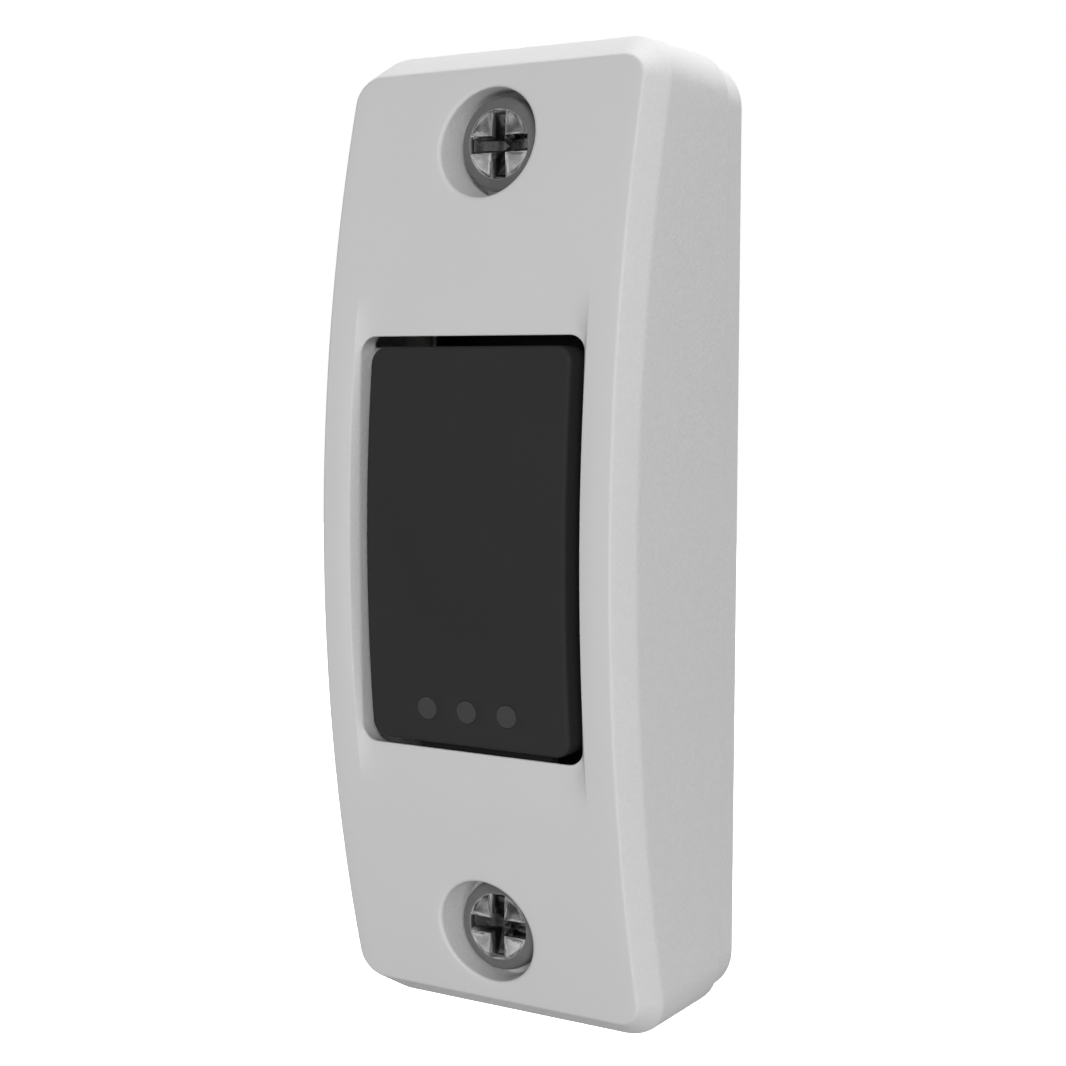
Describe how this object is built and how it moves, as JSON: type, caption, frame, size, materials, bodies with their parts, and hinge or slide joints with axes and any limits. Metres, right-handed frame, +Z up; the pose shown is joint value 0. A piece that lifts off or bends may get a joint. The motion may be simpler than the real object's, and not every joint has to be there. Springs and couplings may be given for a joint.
{
  "type": "garage door wall button",
  "caption": "Wired garage door wall button: a tall arched housing with a rocking push paddle, indicator dots, screw wells and rear wire terminals.",
  "frame": {"origin": "centre of the housing's back face, where it meets the wall", "axes": "+Y into the wall, +Z up, +X to the right seen from the front"},
  "size_m": [0.0276, 0.0392, 0.076],
  "materials": {
    "cover_plastic": "off-white moulded plastic with a very fine grain",
    "base_plastic": "off-white moulded plastic, slightly smoother than the cover",
    "button_plastic": "black moulded plastic, satin",
    "guide_plastic": "smoke grey translucent plastic",
    "screw_chrome": "bright chromium plating",
    "board_laminate": "green solder resist on glass laminate",
    "zinc_steel": "bright zinc plating",
    "switch_plastic": "black moulded plastic",
    "switch_steel": "bright stamped steel",
    "tinned_wire": "tinned wire",
    "led_epoxy": "clear cast epoxy",
    "resistor_paint": "buff lacquer with colour bands",
    "diode_epoxy": "black epoxy with a pale band",
    "capacitor_ceramic": "orange-brown dipped coating",
    "terminal_brass": "bare stamped brass"
  },
  "bodies": {
    "housing": {"front_cover": "cover_plastic", "base_plate": "base_plastic", "wall_screws": "screw_chrome", "circuit_board": "board_laminate", "board_screws": "zinc_steel", "switch_base": "switch_plastic", "switch_frame": "switch_steel", "switch_dome": "switch_steel", "switch_legs": "tinned_wire", "led_lens": "led_epoxy", "led_legs": "tinned_wire", "resistor_body": "resistor_paint", "resistor_leads": "tinned_wire", "diode_body": "diode_epoxy", "diode_leads": "tinned_wire", "capacitor_body": "capacitor_ceramic", "capacitor_leads": "tinned_wire", "terminal_plates": "terminal_brass", "terminal_screws": "zinc_steel", "terminal_washers": "zinc_steel", "terminal_nuts": "terminal_brass"},
    "button": {"button_cap": "button_plastic", "light_guide": "guide_plastic"},
    "plunger": {"switch_plunger": "switch_plastic"}
  },
  "joints": [
    {"name": "button_press", "type": "hinge", "parent": "housing", "child": "button", "pos_m": [0, -0.014, 0.0131], "axis": [1, 0, 0], "range_deg": [0, 1.4], "stiffness_Nm_per_rad": 0.8, "springref_deg": -1.15},
    {"name": "plunger_travel", "type": "slide", "parent": "housing", "child": "plunger", "axis": [0, 1, 0], "range_m": [0, 0.00036], "deforming": ["switch_dome"]}
  ],
  "couplings": [
    {"joint": "plunger_travel", "follows": "button_press", "m_per_rad": 0.0141}
  ]
}
